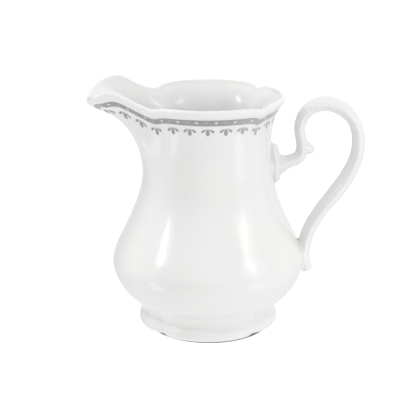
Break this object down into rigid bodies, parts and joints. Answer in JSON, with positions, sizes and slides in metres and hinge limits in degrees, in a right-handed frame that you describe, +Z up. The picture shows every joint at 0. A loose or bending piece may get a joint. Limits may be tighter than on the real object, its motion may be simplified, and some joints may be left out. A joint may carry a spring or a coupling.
{
  "type": "cream jug",
  "caption": "Glazed porcelain cream jug: baluster body with a broad pouring spout, scrolled loop handle, lobed rim and foot, and a grey printed band with small palmettes under the rim.",
  "frame": {"origin": "centre of the foot ring's contact plane, on the body's axis", "axes": "+Z up along the body's axis, +X towards the handle (the spout points to -X), +Y completes a right-handed frame"},
  "size_m": [0.1129, 0.0792, 0.1011],
  "materials": {
    "glazed_porcelain": "glossy clear glaze over white hard porcelain",
    "porcelain_slip": "fired porcelain slip under the glaze",
    "grey_print": "grey ceramic transfer print fused into the glaze"
  },
  "bodies": {
    "root": {"body": "glazed_porcelain", "handle": "glazed_porcelain", "handle_upper_slip": "porcelain_slip", "handle_lower_slip": "porcelain_slip", "rim_band_print": "grey_print", "pendant_prints": "grey_print"}
  },
  "joints": []
}
